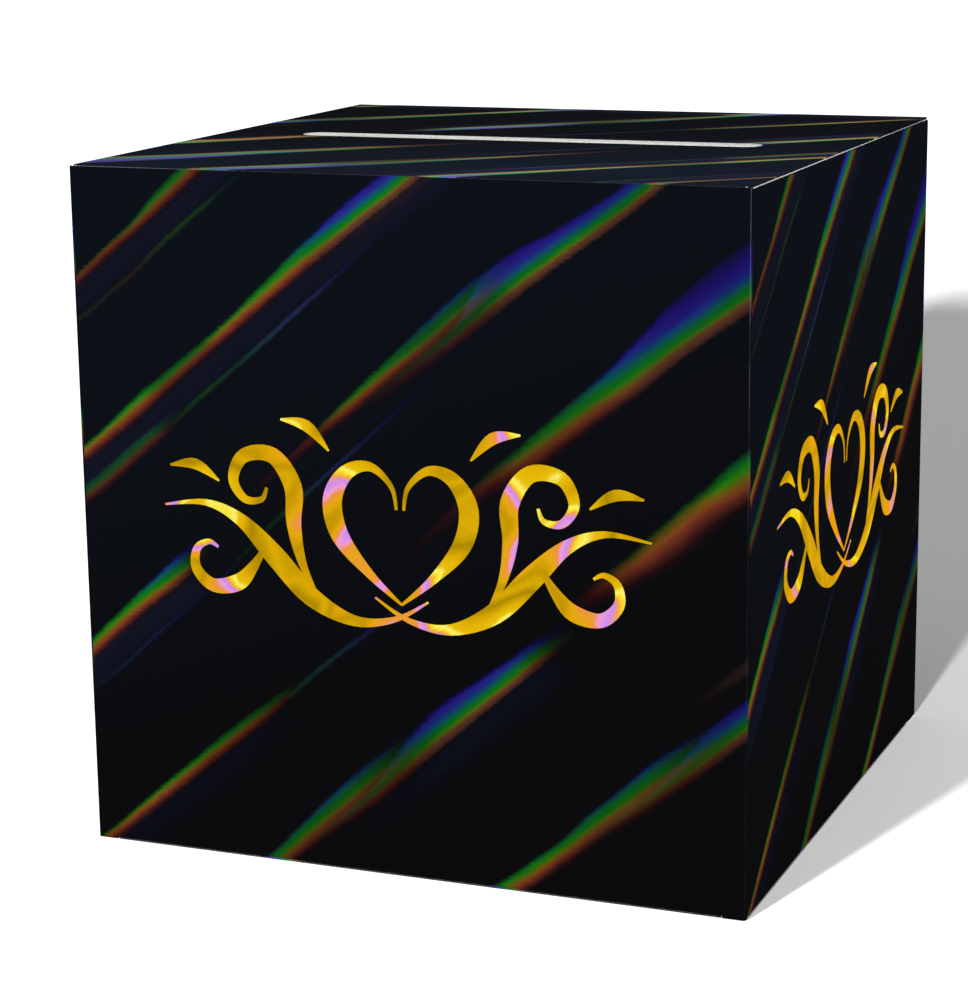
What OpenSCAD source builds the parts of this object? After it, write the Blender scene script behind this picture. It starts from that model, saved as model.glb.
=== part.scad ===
// Wedding card box: a folding carton with a hinged tuck-in lid, a card slot, two dust flaps,
// a glued side seam and a snap-lock bottom, with a foil ornament on each side.
// Origin at the centre of the base, X to the right, Y to the back, Z up, in millimetres.

/* [Box] */
// Outside width, left to right
box_w = 254; // [210:1:400]
// Outside depth, front to back
box_d = 254; // [210:1:400]
// Outside height, floor to the top of the lid
box_h = 254; // [150:1:400]

/* [Board] */
// Thickness of the laminated board
board = 0.8; // [0.5:0.1:1.2]
// Inside radius of a scored fold
fold_r = 0.4; // [0.2:0.1:1]
// Air between two plies that lie on each other
ply_gap = 0.1; // [0.05:0.05:0.3]
// Gap between a flap that moves and what is beside it
run_gap = 0.3; // [0.2:0.1:0.6]

/* [Lid] */
// Length of the card slot, end to end
slot_l = 187; // [120:1:190]
// Width of the card slot
slot_w = 13; // [6:0.5:25]
// Distance that the lid's side edges stay inside the walls' outer faces
lid_inset = 0.5; // [0.2:0.1:2]
// Radius of the lid's front corners
lid_corner_r = 2; // [0.5:0.5:6]
// Distance that the front wall's top edge stays under the lid's top face
front_drop = 0.3; // [0.1:0.1:1]

/* [Tuck flap] */
// Height of the tuck flap, from its crease
tuck_h = 22; // [12:1:32]
// Gap between each end of the tuck flap and the side wall
tuck_side = 3; // [1:0.5:8]
// Distance that each end of the tuck flap draws in towards its free edge
tuck_taper = 2; // [0:0.5:6]
// Radius of the tuck flap's free corners
tuck_corner_r = 11; // [3:1:12]

/* [Dust flaps] */
// Distance between the dust flaps' free edges and the ends of the card slot
slot_margin = 6; // [3:0.5:12]
// Gap between the dust flaps and the tuck flap
dust_front_gap = 1.5; // [1:0.5:5]
// Distance between the lid's crease and the start of the dust flaps' mitre
dust_back_gap = 5; // [3:0.5:15]
// Radius of the dust flaps' free corners
dust_corner_r = 5; // [2:0.5:6]

/* [Seam] */
// Width of the glue tab
tab_w = 26; // [15:1:40]
// Distance that the glue tab's ends draw in
tab_taper = 7; // [2:0.5:15]
// Distance between the glue tab's edges and the glue on it
glue_edge = 3; // [1:0.5:6]
// Distance between the back wall's cut edge and the left wall's outer face
seam_inset = 0.4; // [0.2:0.1:1]

/* [Snap-lock bottom] */
// Width of the locking tongue
tongue_w = 120; // [80:1:130]
// Distance that the tongue's sides draw in towards its tip
tongue_draw = 3; // [0:0.5:8]
// Distance that the tongue reaches past the notch's edge
tongue_reach = 24; // [12:1:35]
// Distance from the middle of the box to the notch's edge, towards the back
lock_y = 10; // [0:1:20]
// Gap between the tongue and each side of the notch
notch_gap = 1; // [0.5:0.1:3]
// Distance that the notched flap's shoulders reach past the middle, towards the front
shoulder_reach = 30; // [15:1:45]
// Length of the front flap's straight sides, before it narrows to its tongue
front_side_l = 57; // [30:1:70]
// Length of the side flaps' back edges, before they narrow to their hooks
side_back_l = 36; // [15:1:60]
// Distance between the middle of the box and each side flap's hook
hook_meet = 9; // [3:1:20]
// Gap between the hooks and the tongue, and between the hooks and the notch's edge
hook_gap = 3; // [1:0.5:6]
// Length of the side flaps' hooks
hook_l = 44; // [25:1:60]
// Distance over which a side flap rises by one ply
side_ramp = 5; // [3:0.5:10]
// Distance over which the notched flap rises by two plies
back_ramp = 10; // [6:0.5:16]
// Distance over which the tongue rises through the notch
tongue_ramp = 12; // [8:0.5:20]
// Flat stretch between a base flap's fold and its rise
flat_run = 1; // [0.5:0.5:4]
// Gap between neighbouring flaps in the base
flap_gap = 1.5; // [0.8:0.1:3]
// Distance that the base flaps' straight sides draw in towards the middle of the box
flap_draw = 3; // [1:0.5:6]
// Radius of the base flaps' free corners
flap_r = 7; // [2:0.5:9]
// Radius of the inside corners of the notch and of the hooks
notch_r = 3; // [1:0.5:5]

/* [Foil ornament] */
// Width of the ornament
foil_w = 186; // [80:1:200]
// Thickness of the stamped foil
foil_t = 0.2; // [0.1:0.05:0.4]
// Height of the ornament's middle above the middle of the wall
foil_rise = 4; // [-30:1:30]

/* [Hidden] */

$fn = 64;
film_colour = [0.03, 0.035, 0.06];
gold = [0.82, 0.64, 0.1];

// Turns of the four walls' own frames about Z
FRONT = 0;
RIGHT = 90;
BACK = 180;
LEFT = 270;

half_w = box_w / 2;
half_d = box_d / 2;
half_board = board / 2;
// A fold's outside radius
fold_out = fold_r + board;
// Height of one ply in the base above the ply under it
ply = board + ply_gap;
// The walls' cut edges stay this far above the floor
edge_lift = 0.3;
// Distance between a crease's axis and the end of the flap that turns on it
crease_gap = half_board + run_gap;
// A cutter or a blank reaches this far past what it crosses
past = 1;

// Creases that move: their axes
lid_axis_y = half_d - half_board;
lid_axis_z = box_h - half_board;
tuck_axis_y = -half_d + board + run_gap + half_board;
dust_axis_z = box_h - board - run_gap - half_board;
side_top = dust_axis_z + half_board;
front_top = box_h - front_drop;

// The tuck flap leans inwards, so that its tip clears the front wall as the lid lifts it out
tuck_lean = 1.2 * atan(tuck_h / box_d);
tuck_half = half_w - board - tuck_side;
lid_half = half_w - lid_inset;

dust_d = half_w - slot_l / 2 - slot_margin;
dust_r = min(dust_corner_r, dust_d / 3);
dust_front = -half_d + 2 * board + run_gap + dust_front_gap;
dust_back = lid_axis_y - dust_back_gap;

// Plane of the glue tab's outer face, inside the back wall
tab_face = half_d - board - ply_gap;
tab_low = fold_out + 3 * ply;
tab_high = side_top - fold_out;

// Base: where the flaps' rises start and end, from the outer face of their own wall
rise_start = fold_out + flat_run;
side_rise_end = rise_start + side_ramp;
back_rise_end = rise_start + back_ramp;
tongue_half = tongue_w / 2;
notch_half = tongue_half + notch_gap;
front_flap_half = half_w - side_rise_end - flap_gap;
back_flap_half = half_w - fold_out - flap_gap;
side_flap_front = half_d - fold_out - flap_gap;
side_flap_back = half_d - back_rise_end - flap_gap;

// ---- Outlines ----

// One corner of an outline, rounded to radius r between its two neighbours
CORNER_STEPS = 6;
function unit(v) = v / norm(v);
function rounded_corner(before, corner, after, r) =
    let (
        a = unit(before - corner),
        b = unit(after - corner),
        half = acos(a * b) / 2,
        middle = corner + unit(a + b) * r / sin(half),
        start = corner + a * r / tan(half) - middle,
        end = corner + b * r / tan(half) - middle,
        from = atan2(start[1], start[0]),
        turn = atan2(start[0] * end[1] - start[1] * end[0], start * end)
    )
    [for (k = [0:CORNER_STEPS])
        let (angle = from + turn * k / CORNER_STEPS)
        middle + r * [cos(angle), sin(angle)]];

// An outline whose corners are given as [x, y, radius]
function rounded(corners) =
    let (n = len(corners), at = [for (c = corners) [c[0], c[1]]])
    [for (i = [0:n - 1])
        each corners[i][2] == 0 ? [at[i]] :
            rounded_corner(at[(i + n - 1) % n], at[i], at[(i + 1) % n], corners[i][2])];

// The same outline with its right half mirrored onto the left
function mirrored(corners) =
    let (n = len(corners))
    concat(corners, [for (i = [n - 1:-1:0]) [-corners[i][0], corners[i][1], corners[i][2]]]);

// ---- Places ----

// Puts a piece drawn in a wall's own frame (x along the wall, y inwards, z up) on that wall
module on_wall(side) {
    reach = side == FRONT || side == BACK ? half_d : half_w;
    rotate([0, 0, side]) translate([0, -reach, 0]) children();
}

// ---- Sheet forms ----

// Section of a fold: a quarter ring round the origin, in the quadrant of -x and -y
module fold_section() {
    intersection() {
        difference() {
            circle(r = fold_out);
            circle(r = fold_r);
        }
        translate([-fold_out, -fold_out]) square(fold_out);
    }
}

// Wall between x = left and x = right, with a rebate over its flap's fold at the floor
module wall(left, right, top, flap_left, flap_right) {
    outline = [
        [left, edge_lift], [flap_left - run_gap, edge_lift], [flap_left - run_gap, fold_out],
        [flap_right + run_gap, fold_out], [flap_right + run_gap, edge_lift], [right, edge_lift],
        [right, top], [left, top]
    ];
    translate([0, board, 0]) rotate([90, 0, 0]) linear_extrude(board) polygon(outline);
}

// Vertical fold at a wall's right-hand end
module corner_fold(right, top) {
    translate([right, fold_out, edge_lift]) rotate([0, 0, 90])
        linear_extrude(top - edge_lift) fold_section();
}

// Rounded edge of a crease, from x = left to x = right, round the crease's own axis
module crease_edge(left, right, y, z) {
    translate([left, y, z]) rotate([0, 90, 0]) cylinder(r = half_board, h = right - left);
}

// Flap in the base: folded in from the floor edge, flat, then risen by a number of plies.
// The outline is seen from above, in the wall's own frame.
module base_flap(outline, rise_from, rise_to, plies, reach) {
    low = [[fold_out, 0], [rise_from, 0], [rise_to, plies * ply], [reach + past, plies * ply]];
    high = [for (i = [len(low) - 1:-1:0]) low[i] + [0, board]];
    widest = max([for (p = outline) abs(p[0])]) + past;
    intersection() {
        translate([-widest, 0, 0]) rotate([90, 0, 90]) linear_extrude(2 * widest) {
            translate([fold_out, fold_out]) fold_section();
            polygon(concat(low, high));
        }
        translate([0, 0, -past]) linear_extrude(plies * ply + board + fold_out + 2 * past)
            polygon(outline);
    }
}

// ---- Walls ----

module front_panel() {
    end = half_w - fold_out;
    color(film_colour) on_wall(FRONT) {
        wall(-end, end, front_top, -front_flap_half, front_flap_half);
        corner_fold(end, front_top);
    }
}

module right_panel() {
    end = half_d - fold_out;
    color(film_colour) on_wall(RIGHT) {
        wall(-end, end, dust_axis_z, -side_flap_front, side_flap_back);
        crease_edge(-end, end, half_board, dust_axis_z);
        corner_fold(end, side_top);
    }
}

module back_panel() {
    left = -half_w + fold_out;
    right = half_w - seam_inset;
    color(film_colour) on_wall(BACK) {
        wall(left, right, lid_axis_z, -back_flap_half, back_flap_half);
        crease_edge(left, lid_half, half_board, lid_axis_z);
    }
}

module left_panel() {
    left = -tab_face + fold_out;
    right = half_d - fold_out;
    color(film_colour) on_wall(LEFT) {
        wall(left, right, dust_axis_z, -side_flap_back, side_flap_front);
        crease_edge(left, right, half_board, dust_axis_z);
        corner_fold(right, front_top);
    }
}

// The glue tab's outline, drawn in by edge, with y from the left wall's outer face
function tab_outline(edge) =
    let (low = tab_low + edge, high = tab_high - edge, tip = tab_w - edge)
    rounded([[fold_out + edge, low, 0], [tip, low + tab_taper, notch_r],
        [tip, high - tab_taper, notch_r], [fold_out + edge, high, 0]]);

module glue_tab() {
    color("white") on_wall(LEFT) {
        translate([-tab_face + fold_out, fold_out, edge_lift])
            linear_extrude(side_top - edge_lift) fold_section();
        translate([-tab_face, 0, 0]) rotate([90, 0, 90]) linear_extrude(board)
            polygon(tab_outline(0));
    }
}

// Glue between the tab and the back wall
module seam_glue() {
    color("ivory") on_wall(LEFT) translate([-tab_face - ply_gap, 0, 0]) rotate([90, 0, 90])
        linear_extrude(ply_gap) polygon(tab_outline(glue_edge));
}

// ---- Lid ----

module card_slot() {
    straight = slot_l - slot_w;
    square([straight, slot_w], center = true);
    for (end = [-1, 1]) translate([end * straight / 2, 0]) circle(d = slot_w);
}

module lid_panel() {
    back = lid_axis_y - crease_gap;
    outline = rounded(mirrored([[lid_half, tuck_axis_y, lid_corner_r], [lid_half, back, 0]]));
    color(film_colour) {
        translate([0, 0, box_h - board]) linear_extrude(board) difference() {
            polygon(outline);
            card_slot();
        }
        crease_edge(-tuck_half, tuck_half, tuck_axis_y, box_h - half_board);
    }
}

module tuck_flap() {
    outline = rounded(mirrored([[tuck_half, -crease_gap, 0],
        [tuck_half - tuck_taper, -tuck_h, tuck_corner_r]]));
    color(film_colour) translate([0, tuck_axis_y, box_h - half_board]) rotate([tuck_lean, 0, 0])
        translate([0, half_board, 0]) rotate([90, 0, 0]) linear_extrude(board) polygon(outline);
}

// Dust flap in the right wall's frame: x runs to the back
module dust_flap() {
    start = half_board + crease_gap;
    outline = rounded([[dust_front, start, 0], [dust_back, start, 0],
        [dust_back - dust_d + start, dust_d, dust_r], [dust_front + dust_r / 2, dust_d, dust_r]]);
    translate([0, 0, dust_axis_z - half_board]) linear_extrude(board) polygon(outline);
}

module right_dust_flap() {
    color(film_colour) on_wall(RIGHT) dust_flap();
}

module left_dust_flap() {
    color(film_colour) on_wall(LEFT) mirror([1, 0, 0]) dust_flap();
}

// ---- Snap-lock bottom ----

module bottom_back_flap() {
    reach = half_d + shoulder_reach;
    outline = rounded(mirrored([[back_flap_half, 0, 0],
        [back_flap_half - flap_draw, reach, flap_r], [notch_half, reach, flap_r],
        [notch_half, half_d - lock_y, notch_r]]));
    color(film_colour) on_wall(BACK) base_flap(outline, rise_start, back_rise_end, 2, reach);
}

// Side flap in the right wall's frame: x runs to the back. Its hook lies under the notched flap.
module side_flap() {
    reach = half_w - hook_meet;
    hook_front = lock_y + hook_gap;
    beside_tongue = half_w - notch_half - hook_gap;
    before_tongue = lock_y - tongue_ramp - 2 * hook_gap;
    outline = rounded([[-side_flap_front, 0, 0], [side_flap_back, 0, 0],
        [side_flap_back - flap_draw, side_back_l, flap_r], [hook_front + hook_l, reach, flap_r],
        [hook_front, reach, flap_r], [hook_front, beside_tongue, notch_r],
        [before_tongue, beside_tongue, flap_r]]);
    base_flap(outline, rise_start, side_rise_end, 1, reach);
}

module bottom_right_flap() {
    color(film_colour) on_wall(RIGHT) side_flap();
}

module bottom_left_flap() {
    color(film_colour) on_wall(LEFT) mirror([1, 0, 0]) side_flap();
}

// The front flap's tongue rises through the notch and lies on the notched flap
module bottom_front_flap() {
    notch_edge = half_d + lock_y;
    rise_end = notch_edge - flap_gap;
    rise_from = rise_end - tongue_ramp;
    reach = notch_edge + tongue_reach;
    outline = rounded(mirrored([[front_flap_half, 0, 0],
        [front_flap_half - flap_draw, front_side_l, flap_r],
        [tongue_half, rise_from - hook_gap, flap_r], [tongue_half - tongue_draw, reach, flap_r]]));
    color(film_colour) on_wall(FRONT) base_flap(outline, rise_from, rise_end, 3, reach);
}

// ---- Foil ornament ----

// Points round a curl, as [x, y, width]: the radius, angle and width go evenly from the first
// value to the second
CURL_STEP = 58;
function curl(middle, r, angle, width) =
    let (steps = ceil(abs(angle[1] - angle[0]) / CURL_STEP))
    [for (k = [0:steps])
        let (t = k / steps, at = r[0] + (r[1] - r[0]) * t, a = angle[0] + (angle[1] - angle[0]) * t)
        [middle[0] + at * cos(a), middle[1] + at * sin(a), width[0] + (width[1] - width[0]) * t]];

// Strokes of the ornament's right half, as [x, y, width] points on a drawing 200 wide. A pen
// of changing width runs smoothly through them. The left half mirrors the right.
DRAWING_W = 200;
STROKES = [
    // Heart
    [[0, -31, 1], [13, -20, 3.6], [25, -6, 7.4], [28, 8, 8], [22, 19, 6], [12, 22, 3.6],
        [3.5, 15, 2], [1.5, 6, 1.2]],
    // Long swash, crossing its twin under the heart and running out to the side
    [[-11, -29, 0.8], [3, -37, 2.2], [20, -39, 4.4], [38, -31, 8], [53, -16, 8.8], [67, -3, 5.4],
        [82, 3, 2.6], [100, 1, 0.8]],
    // Rising scroll
    concat([[33, -35, 1], [41, -19, 3.4], [44.5, -3, 6.2]],
        curl([60, 12], [15.5, 4.5], [180, -165], [7.6, 1.2])),
    // Falling scroll
    concat([[56, -11, 1], [62, -20.5, 4]], curl([79, -18], [14, 4], [225, 475], [6.6, 1.1])),
    // Leaves
    [[29, 27, 0.8], [38, 36, 4.6], [49, 38, 0.8]],
    [[76, 12, 0.8], [86, 18, 4.4], [97, 17, 0.8]]
];
STROKE_STEPS = 6;

function spline(a, b, c, d, t) =
    0.5 * (2 * b + (c - a) * t + (2 * a - 5 * b + 4 * c - d) * t * t
        + (3 * b - a - 3 * c + d) * t * t * t);

// Points along a stroke, still as [x, y, width]
function along(pts) =
    let (n = len(pts))
    concat(
        [for (i = [0:n - 2], k = [0:STROKE_STEPS - 1])
            spline(pts[max(i - 1, 0)], pts[i], pts[i + 1], pts[min(i + 2, n - 1)],
                k / STROKE_STEPS)],
        [pts[n - 1]]);

// Edge of a stroke on one side of its middle line
function stroke_edge(line, side) =
    let (n = len(line))
    [for (i = [0:n - 1])
        let (
            run = line[min(i + 1, n - 1)] - line[max(i - 1, 0)],
            across = unit([-run[1], run[0]])
        )
        [line[i][0], line[i][1]] + side * across * line[i][2] / 2];

function reversed(list) = [for (i = [len(list) - 1:-1:0]) list[i]];

module stroke(pts) {
    line = along(pts);
    polygon(concat(stroke_edge(line, 1), reversed(stroke_edge(line, -1))));
}

module ornament() {
    for (half = [0, 1]) mirror([half, 0]) for (pts = STROKES) stroke(pts);
}

module foil(side) {
    color(gold) on_wall(side) translate([0, 0, box_h / 2 + foil_rise]) rotate([90, 0, 0])
        linear_extrude(foil_t) scale(foil_w / DRAWING_W) ornament();
}

module front_foil() foil(FRONT);
module right_foil() foil(RIGHT);
module back_foil() foil(BACK);
module left_foil() foil(LEFT);

front_panel();
right_panel();
back_panel();
left_panel();
glue_tab();
seam_glue();
lid_panel();
tuck_flap();
right_dust_flap();
left_dust_flap();
bottom_back_flap();
bottom_right_flap();
bottom_left_flap();
bottom_front_flap();
front_foil();
right_foil();
back_foil();
left_foil();
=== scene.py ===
import math

import bpy
from mathutils import Matrix, Vector


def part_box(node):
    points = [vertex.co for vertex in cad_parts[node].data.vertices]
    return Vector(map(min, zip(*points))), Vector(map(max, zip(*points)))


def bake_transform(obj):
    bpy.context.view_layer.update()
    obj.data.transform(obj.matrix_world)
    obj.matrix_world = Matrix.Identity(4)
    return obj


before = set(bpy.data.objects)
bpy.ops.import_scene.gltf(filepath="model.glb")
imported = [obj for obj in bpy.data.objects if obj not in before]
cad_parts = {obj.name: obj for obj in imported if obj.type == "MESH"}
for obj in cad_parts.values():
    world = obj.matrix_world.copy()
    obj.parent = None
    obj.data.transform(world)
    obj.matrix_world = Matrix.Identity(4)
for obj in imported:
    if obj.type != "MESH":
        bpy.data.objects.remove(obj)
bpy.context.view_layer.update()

scene = bpy.context.scene
MM = 0.001

# ---- Sizes, from the frame ----

HALF_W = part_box("front_panel")[1].x
HALF_D = -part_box("front_panel")[0].y
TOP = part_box("lid_panel")[1].z
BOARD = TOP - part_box("lid_panel")[0].z
HALF_BOARD = BOARD / 2
# Outer radius of the upright folds, at which the right wall begins
FOLD_OUT = HALF_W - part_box("right_panel")[0].x
# Where the moving creases' axes lie
LID_AXIS_Z = TOP - HALF_BOARD
TUCK_AXIS_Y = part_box("lid_panel")[0].y + HALF_BOARD
DUST_AXIS_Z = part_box("right_dust_flap")[0].z + HALF_BOARD

# The film's thickness, as it shows on a cut edge
FILM = 0.07 * MM

# ---- Camera ----

CAMERA_PLACE = Vector((0.3823, -0.999, 0.3601))
CAMERA_YAW = math.radians(-21.9)
CAMERA_PITCH = math.radians(-13.03)
CAMERA_ROLL = math.radians(-0.74)
FOCAL_MM = 100.3
SENSOR_MM = 36.0


def place_camera():
    data = bpy.data.cameras.new("camera")
    data.sensor_width = SENSOR_MM
    data.lens = FOCAL_MM
    camera = bpy.data.objects.new("camera", data)
    scene.collection.objects.link(camera)
    level = math.cos(CAMERA_PITCH)
    forward = Vector((math.sin(CAMERA_YAW) * level, math.cos(CAMERA_YAW) * level,
                      math.sin(CAMERA_PITCH)))
    right = Vector((math.cos(CAMERA_YAW), -math.sin(CAMERA_YAW), 0))
    up = right.cross(forward)
    across = math.cos(CAMERA_ROLL) * right + math.sin(CAMERA_ROLL) * up
    upward = math.cos(CAMERA_ROLL) * up - math.sin(CAMERA_ROLL) * right
    turned = Matrix((across, upward, -forward)).transposed().to_4x4()
    camera.matrix_world = Matrix.Translation(CAMERA_PLACE) @ turned
    scene.camera = camera


# ---- Building node trees ----

def feed(tree, socket, value):
    """Links a socket, or sets a constant."""
    if isinstance(value, bpy.types.NodeSocket):
        tree.links.new(value, socket)
    else:
        socket.default_value = value


def add(tree, kind, inputs=None, **settings):
    made = tree.nodes.new("ShaderNode" + kind)
    for name, value in settings.items():
        setattr(made, name, value)
    for key, value in (inputs or {}).items():
        feed(tree, made.inputs[key], value)
    return made


def calc(tree, operation, a, b=0.0, c=0.0, clamp=False):
    made = add(tree, "Math", operation=operation, use_clamp=clamp)
    for socket, value in zip(made.inputs, (a, b, c)):
        feed(tree, socket, value)
    return made.outputs[0]


def step(tree, value, start, end):
    """0 at start and 1 at end, with a smooth change between; start may be the greater."""
    return add(tree, "MapRange", {"Value": value, "From Min": start, "From Max": end},
               interpolation_type="SMOOTHSTEP").outputs[0]


def mix(tree, share, a, b, blend="MIX"):
    made = add(tree, "Mix", {0: share, 6: a, 7: b}, data_type="RGBA", blend_type=blend)
    return made.outputs[2]


def paint(red, green, blue):
    """A colour from its 0 to 255 values, as linear light."""
    def linear(value):
        value /= 255
        return value / 12.92 if value <= 0.04045 else ((value + 0.055) / 1.055) ** 2.4
    return linear(red), linear(green), linear(blue), 1.0


def ramp(tree, value, stops, interpolation="LINEAR"):
    """A colour ramp from (place, (red, green, blue)) stops."""
    made = add(tree, "ValToRGB", {0: value})
    band = made.color_ramp
    band.interpolation = interpolation
    while len(band.elements) < len(stops):
        band.elements.new(1.0)
    for element, (place, colour) in zip(band.elements, stops):
        element.position = place
        element.color = paint(*colour)
    return made.outputs[0]


def noise(tree, place, scale, detail=2.0, rough=0.5, warp=0.0):
    return add(tree, "TexNoise", {"Vector": place, "Scale": scale, "Detail": detail,
                                  "Roughness": rough, "Distortion": warp}).outputs["Fac"]


def flat_noise(tree, x, y, detail):
    return add(tree, "TexNoise", {"Vector": vector(tree, x, y), "Scale": 1.0, "Detail": detail},
               noise_dimensions="2D").outputs["Fac"]


def vector(tree, x=0.0, y=0.0, z=0.0):
    return add(tree, "CombineXYZ", {0: x, 1: y, 2: z}).outputs[0]


def parts(tree, value):
    return add(tree, "SeparateXYZ", {0: value}).outputs


def group(name, inputs, outputs):
    """An empty node group: its tree, and its inputs' and outputs' sockets by name."""
    tree = bpy.data.node_groups.new(name, "ShaderNodeTree")
    for label, kind, start in inputs:
        socket = tree.interface.new_socket(label, in_out="INPUT",
                                           socket_type="NodeSocket" + kind)
        socket.default_value = start
    for label, kind in outputs:
        tree.interface.new_socket(label, in_out="OUTPUT", socket_type="NodeSocket" + kind)
    given = tree.nodes.new("NodeGroupInput").outputs
    wanted = tree.nodes.new("NodeGroupOutput").inputs
    return tree, given, wanted


def use(tree, made, **values):
    """Places a node group and returns its outputs. Input names are given with _ for a space."""
    placed = tree.nodes.new("ShaderNodeGroup")
    placed.node_tree = made
    for name, value in values.items():
        feed(tree, placed.inputs[name.replace("_", " ")], value)
    return placed.outputs


# ---- Holographic film: the streaks ----

# The streaks lie on a tile one face wide, measured in thousandths, with u to the right and
# v down. SPAN is the tile's diagonal reach and TILT the streaks' climb.
TILT = math.radians(39)
SPAN = 1500.0
BEHIND = 700.0
# A beam's greatest reach, blueness and glow, for which its curves have the value 1
REACH_MAX = 60.0
BLUE_MAX = 4.0
GLOW_MAX = 1.15

# Each beam: how strong the haze below it is, then places along its red edge: (u, v), the
# distance from there to its green, how far it goes on towards violet, and its glow. The
# beams of one lane lie clear of each other.
FIRST_LANE = (
    # Top left
    (1, ((-60, 224, 18, .55, .75), (0, 176, 18, .6, .9), (60, 126, 18, .65, .9),
         (110, 88, 18, .85, .85), (150, 54, 19, 1.15, .9), (205, 7, 19, 1.3, .9),
         (280, -56, 19, 1.5, .85))),
    (1, ((-60, 479, 20, .6, 1), (0, 431, 20, .8, 1.1), (50, 392, 20, .88, 1.15),
         (100, 353, 21, 1.07, 1.15), (150, 311, 18, 1.2, .85), (200, 270, 18, 1.1, .85),
         (250, 227, 19, .9, 1.15), (300, 187, 20, 1.07, 1.15), (350, 146, 20, 1.3, 1.15),
         (400, 108, 17, 1.85, 1.1), (450, 68, 14, 2.5, 1.15), (500, 32, 14, 2.6, 1.1),
         (560, -15, 15, 2.6, 1))),
    # Left
    (1, ((-60, 776, 20, .95, 1.1), (0, 726, 20, 1, 1.15), (50, 681, 20, 1.07, 1.15),
         (100, 638, 18.5, 1.35, 1.15), (150, 600, 17, 1.85, 1), (185, 570, 15, 2.2, .5),
         (235, 526, 14, 2.4, 0))),
    (.3, ((245, 486, 24, .4, 0), (300, 441, 24, .45, .4), (350, 397, 22, .5, .6),
          (400, 354, 20, .7, .8), (450, 314, 20, 1, .95), (500, 274, 20, 1.25, .9),
          (550, 236, 20, 1.58, .8), (600, 193, 19, 1.78, .75), (640, 158, 19, 1.8, .5),
          (665, 137, 19, 1.8, .25), (690, 115, 19, 1.8, 0))),
    # Middle
    (.6, ((-20, 1036, 20, .6, .8), (50, 982, 19, .75, 1.05), (100, 941, 19.5, .87, 1.1),
          (150, 900, 19, 1, 1), (200, 859, 19, 1.1, .85), (250, 818, 18.5, 1.2, .75),
          (300, 777, 17, 1.2, .55), (350, 733, 12, 1.3, .2), (400, 690, 8, 1.4, 0))),
    (0, ((420, 618, 42, .35, 0), (500, 553, 40, .4, .25), (550, 505, 38, .45, .35),
         (600, 460, 36, .55, .5), (650, 421, 35, .7, .65), (700, 390, 34, .95, .85),
         (745, 354, 30, 1.2, .9), (800, 311, 27, 1.5, .95), (850, 275, 24.5, 2, 1),
         (900, 234, 22, 2.65, .95), (950, 196, 20, 3.4, .95), (1000, 161, 21.5, 3.5, .9),
         (1060, 116, 21.5, 3.5, .9))),
    # Bottom
    (0, ((240, 1060, 19, 1.1, .85), (300, 1013, 19, 1.33, .85), (350, 970, 21, 1.45, .85),
         (400, 925, 21.5, 1.63, .85), (450, 879, 21, 1.73, .7), (500, 833, 20, 1.75, .4),
         (560, 780, 20, 1.8, 0))),
    (0, ((640, 680, 50, .3, 0), (750, 600, 48, .35, .3), (800, 564, 44, .5, .6),
         (850, 529, 42, .62, .95), (900, 492, 50, .66, 1.1), (950, 446, 46, .74, 1.1),
         (1000, 410, 38, 1.2, 1.05), (1060, 364, 38, 1.3, 1))),
    # Bottom right
    (0, ((600, 1056, 22, 1, 1), (640, 1023, 22, 1.05, 1.05), (700, 980, 22, 1.18, 1.05),
         (750, 939, 21, 1.25, .95), (800, 895, 21, 1.5, .88), (850, 854, 22, 1.58, .85),
         (900, 811, 21, 1.78, .7), (950, 770, 20, 1.75, .4), (1010, 716, 20, 1.8, 0))),
)
SECOND_LANE = (
    (.6, ((-60, 545, 18, 1, .6), (0, 495, 18, 1.2, .65), (50, 457, 18, 1.25, .65),
          (100, 414, 17, 1.3, .65), (150, 372, 14, 1.4, .35), (200, 328, 8, 1.2, 0))),
    (0, ((340, 165, 22, .6, 0), (450, 84, 22, .8, .25), (500, 50, 22, .85, .3),
         (600, -26, 22, .9, .2))),
    (.5, ((440, 346, 24, .7, 0), (500, 296, 22, .8, .35), (550, 258, 20, .95, .45),
          (600, 220, 18, 1.35, .55), (625, 200, 19, 1.85, .6), (645, 184, 19.5, 2.4, .7),
          (670, 163, 18.5, 2.85, .87), (700, 139, 17, 3, 1.03), (750, 102, 15.5, 2.6, 1.05),
          (800, 67, 15, 2.5, .95), (850, 30, 14.5, 2.4, .9), (900, -10, 14.5, 2.4, .9))),
    (.7, ((320, 1014, 20, .8, 0), (400, 942, 19, .95, .35), (450, 901, 19, 1.15, .5),
          (500, 855, 21, 1.5, .6), (550, 806, 18.5, 2.3, .85), (600, 761, 17, 2.6, 1),
          (650, 717, 15.5, 2.45, 1.02), (700, 673, 15.5, 2.15, .78), (740, 640, 13, 2.3, .35),
          (800, 592, 12, 2.4, 0))),
    (.3, ((700, 994, 20, .9, 0), (800, 909, 20, 1, .3), (850, 869, 19, 1.15, .45),
          (900, 829, 18, 1.4, .55), (950, 787, 18.5, 2, .65), (1000, 743, 17.5, 2.5, .8),
          (1060, 695, 17.5, 2.6, .9))),
)

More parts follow.
